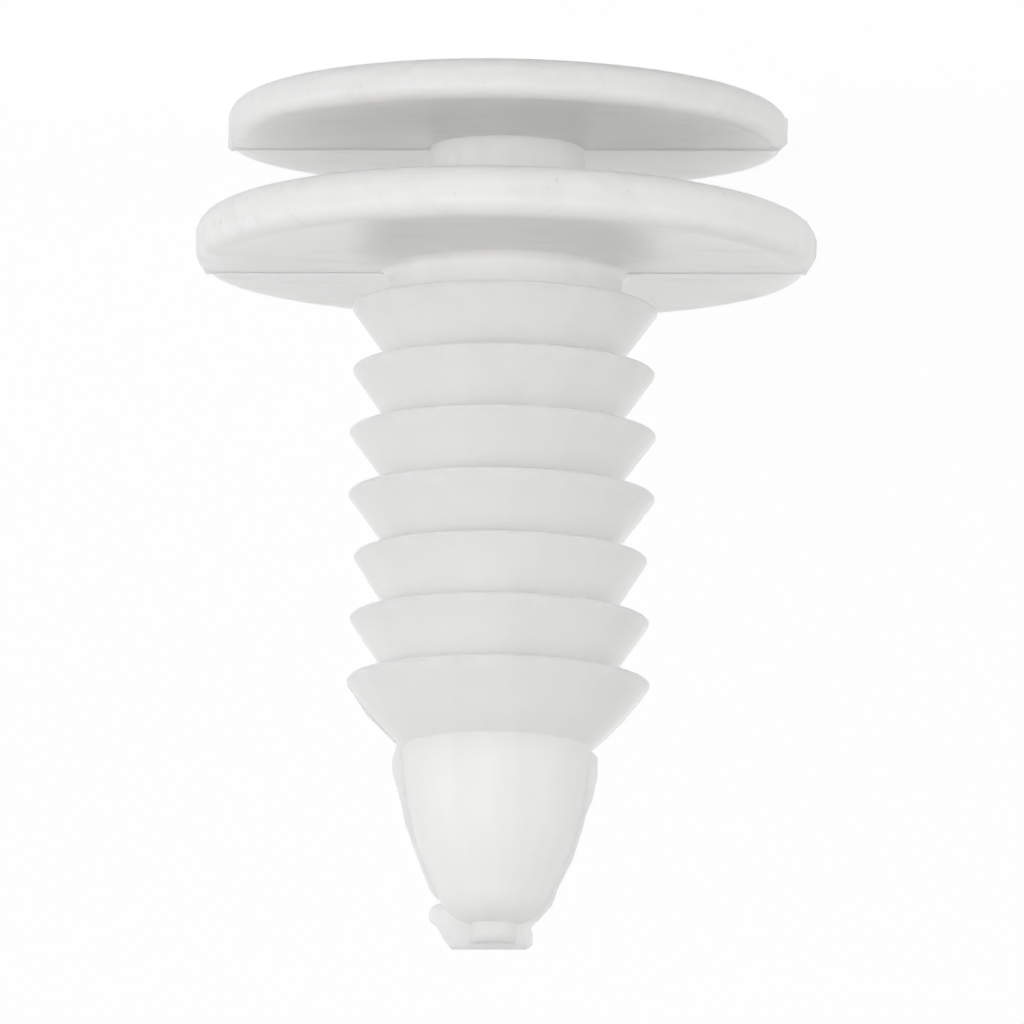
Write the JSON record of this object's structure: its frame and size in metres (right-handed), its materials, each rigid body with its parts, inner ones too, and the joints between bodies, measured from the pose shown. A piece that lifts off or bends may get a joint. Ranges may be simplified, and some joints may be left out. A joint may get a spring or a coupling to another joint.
{
  "type": "door panel clip",
  "caption": "Push-in trim clip: a round head and a wider round flange on a short neck, a shank with barbed conical ribs, and a bullet tip.",
  "frame": {"origin": "centre of the head's outer face, on which the clip stands", "axes": "+Z along the shank from the head to the tip; the moulding seam lies in the XZ plane"},
  "size_m": [0.02, 0.0196, 0.0273],
  "materials": {
    "nylon": "satin, slightly translucent"
  },
  "bodies": {
    "root": {"clip_body": "nylon"}
  },
  "joints": []
}
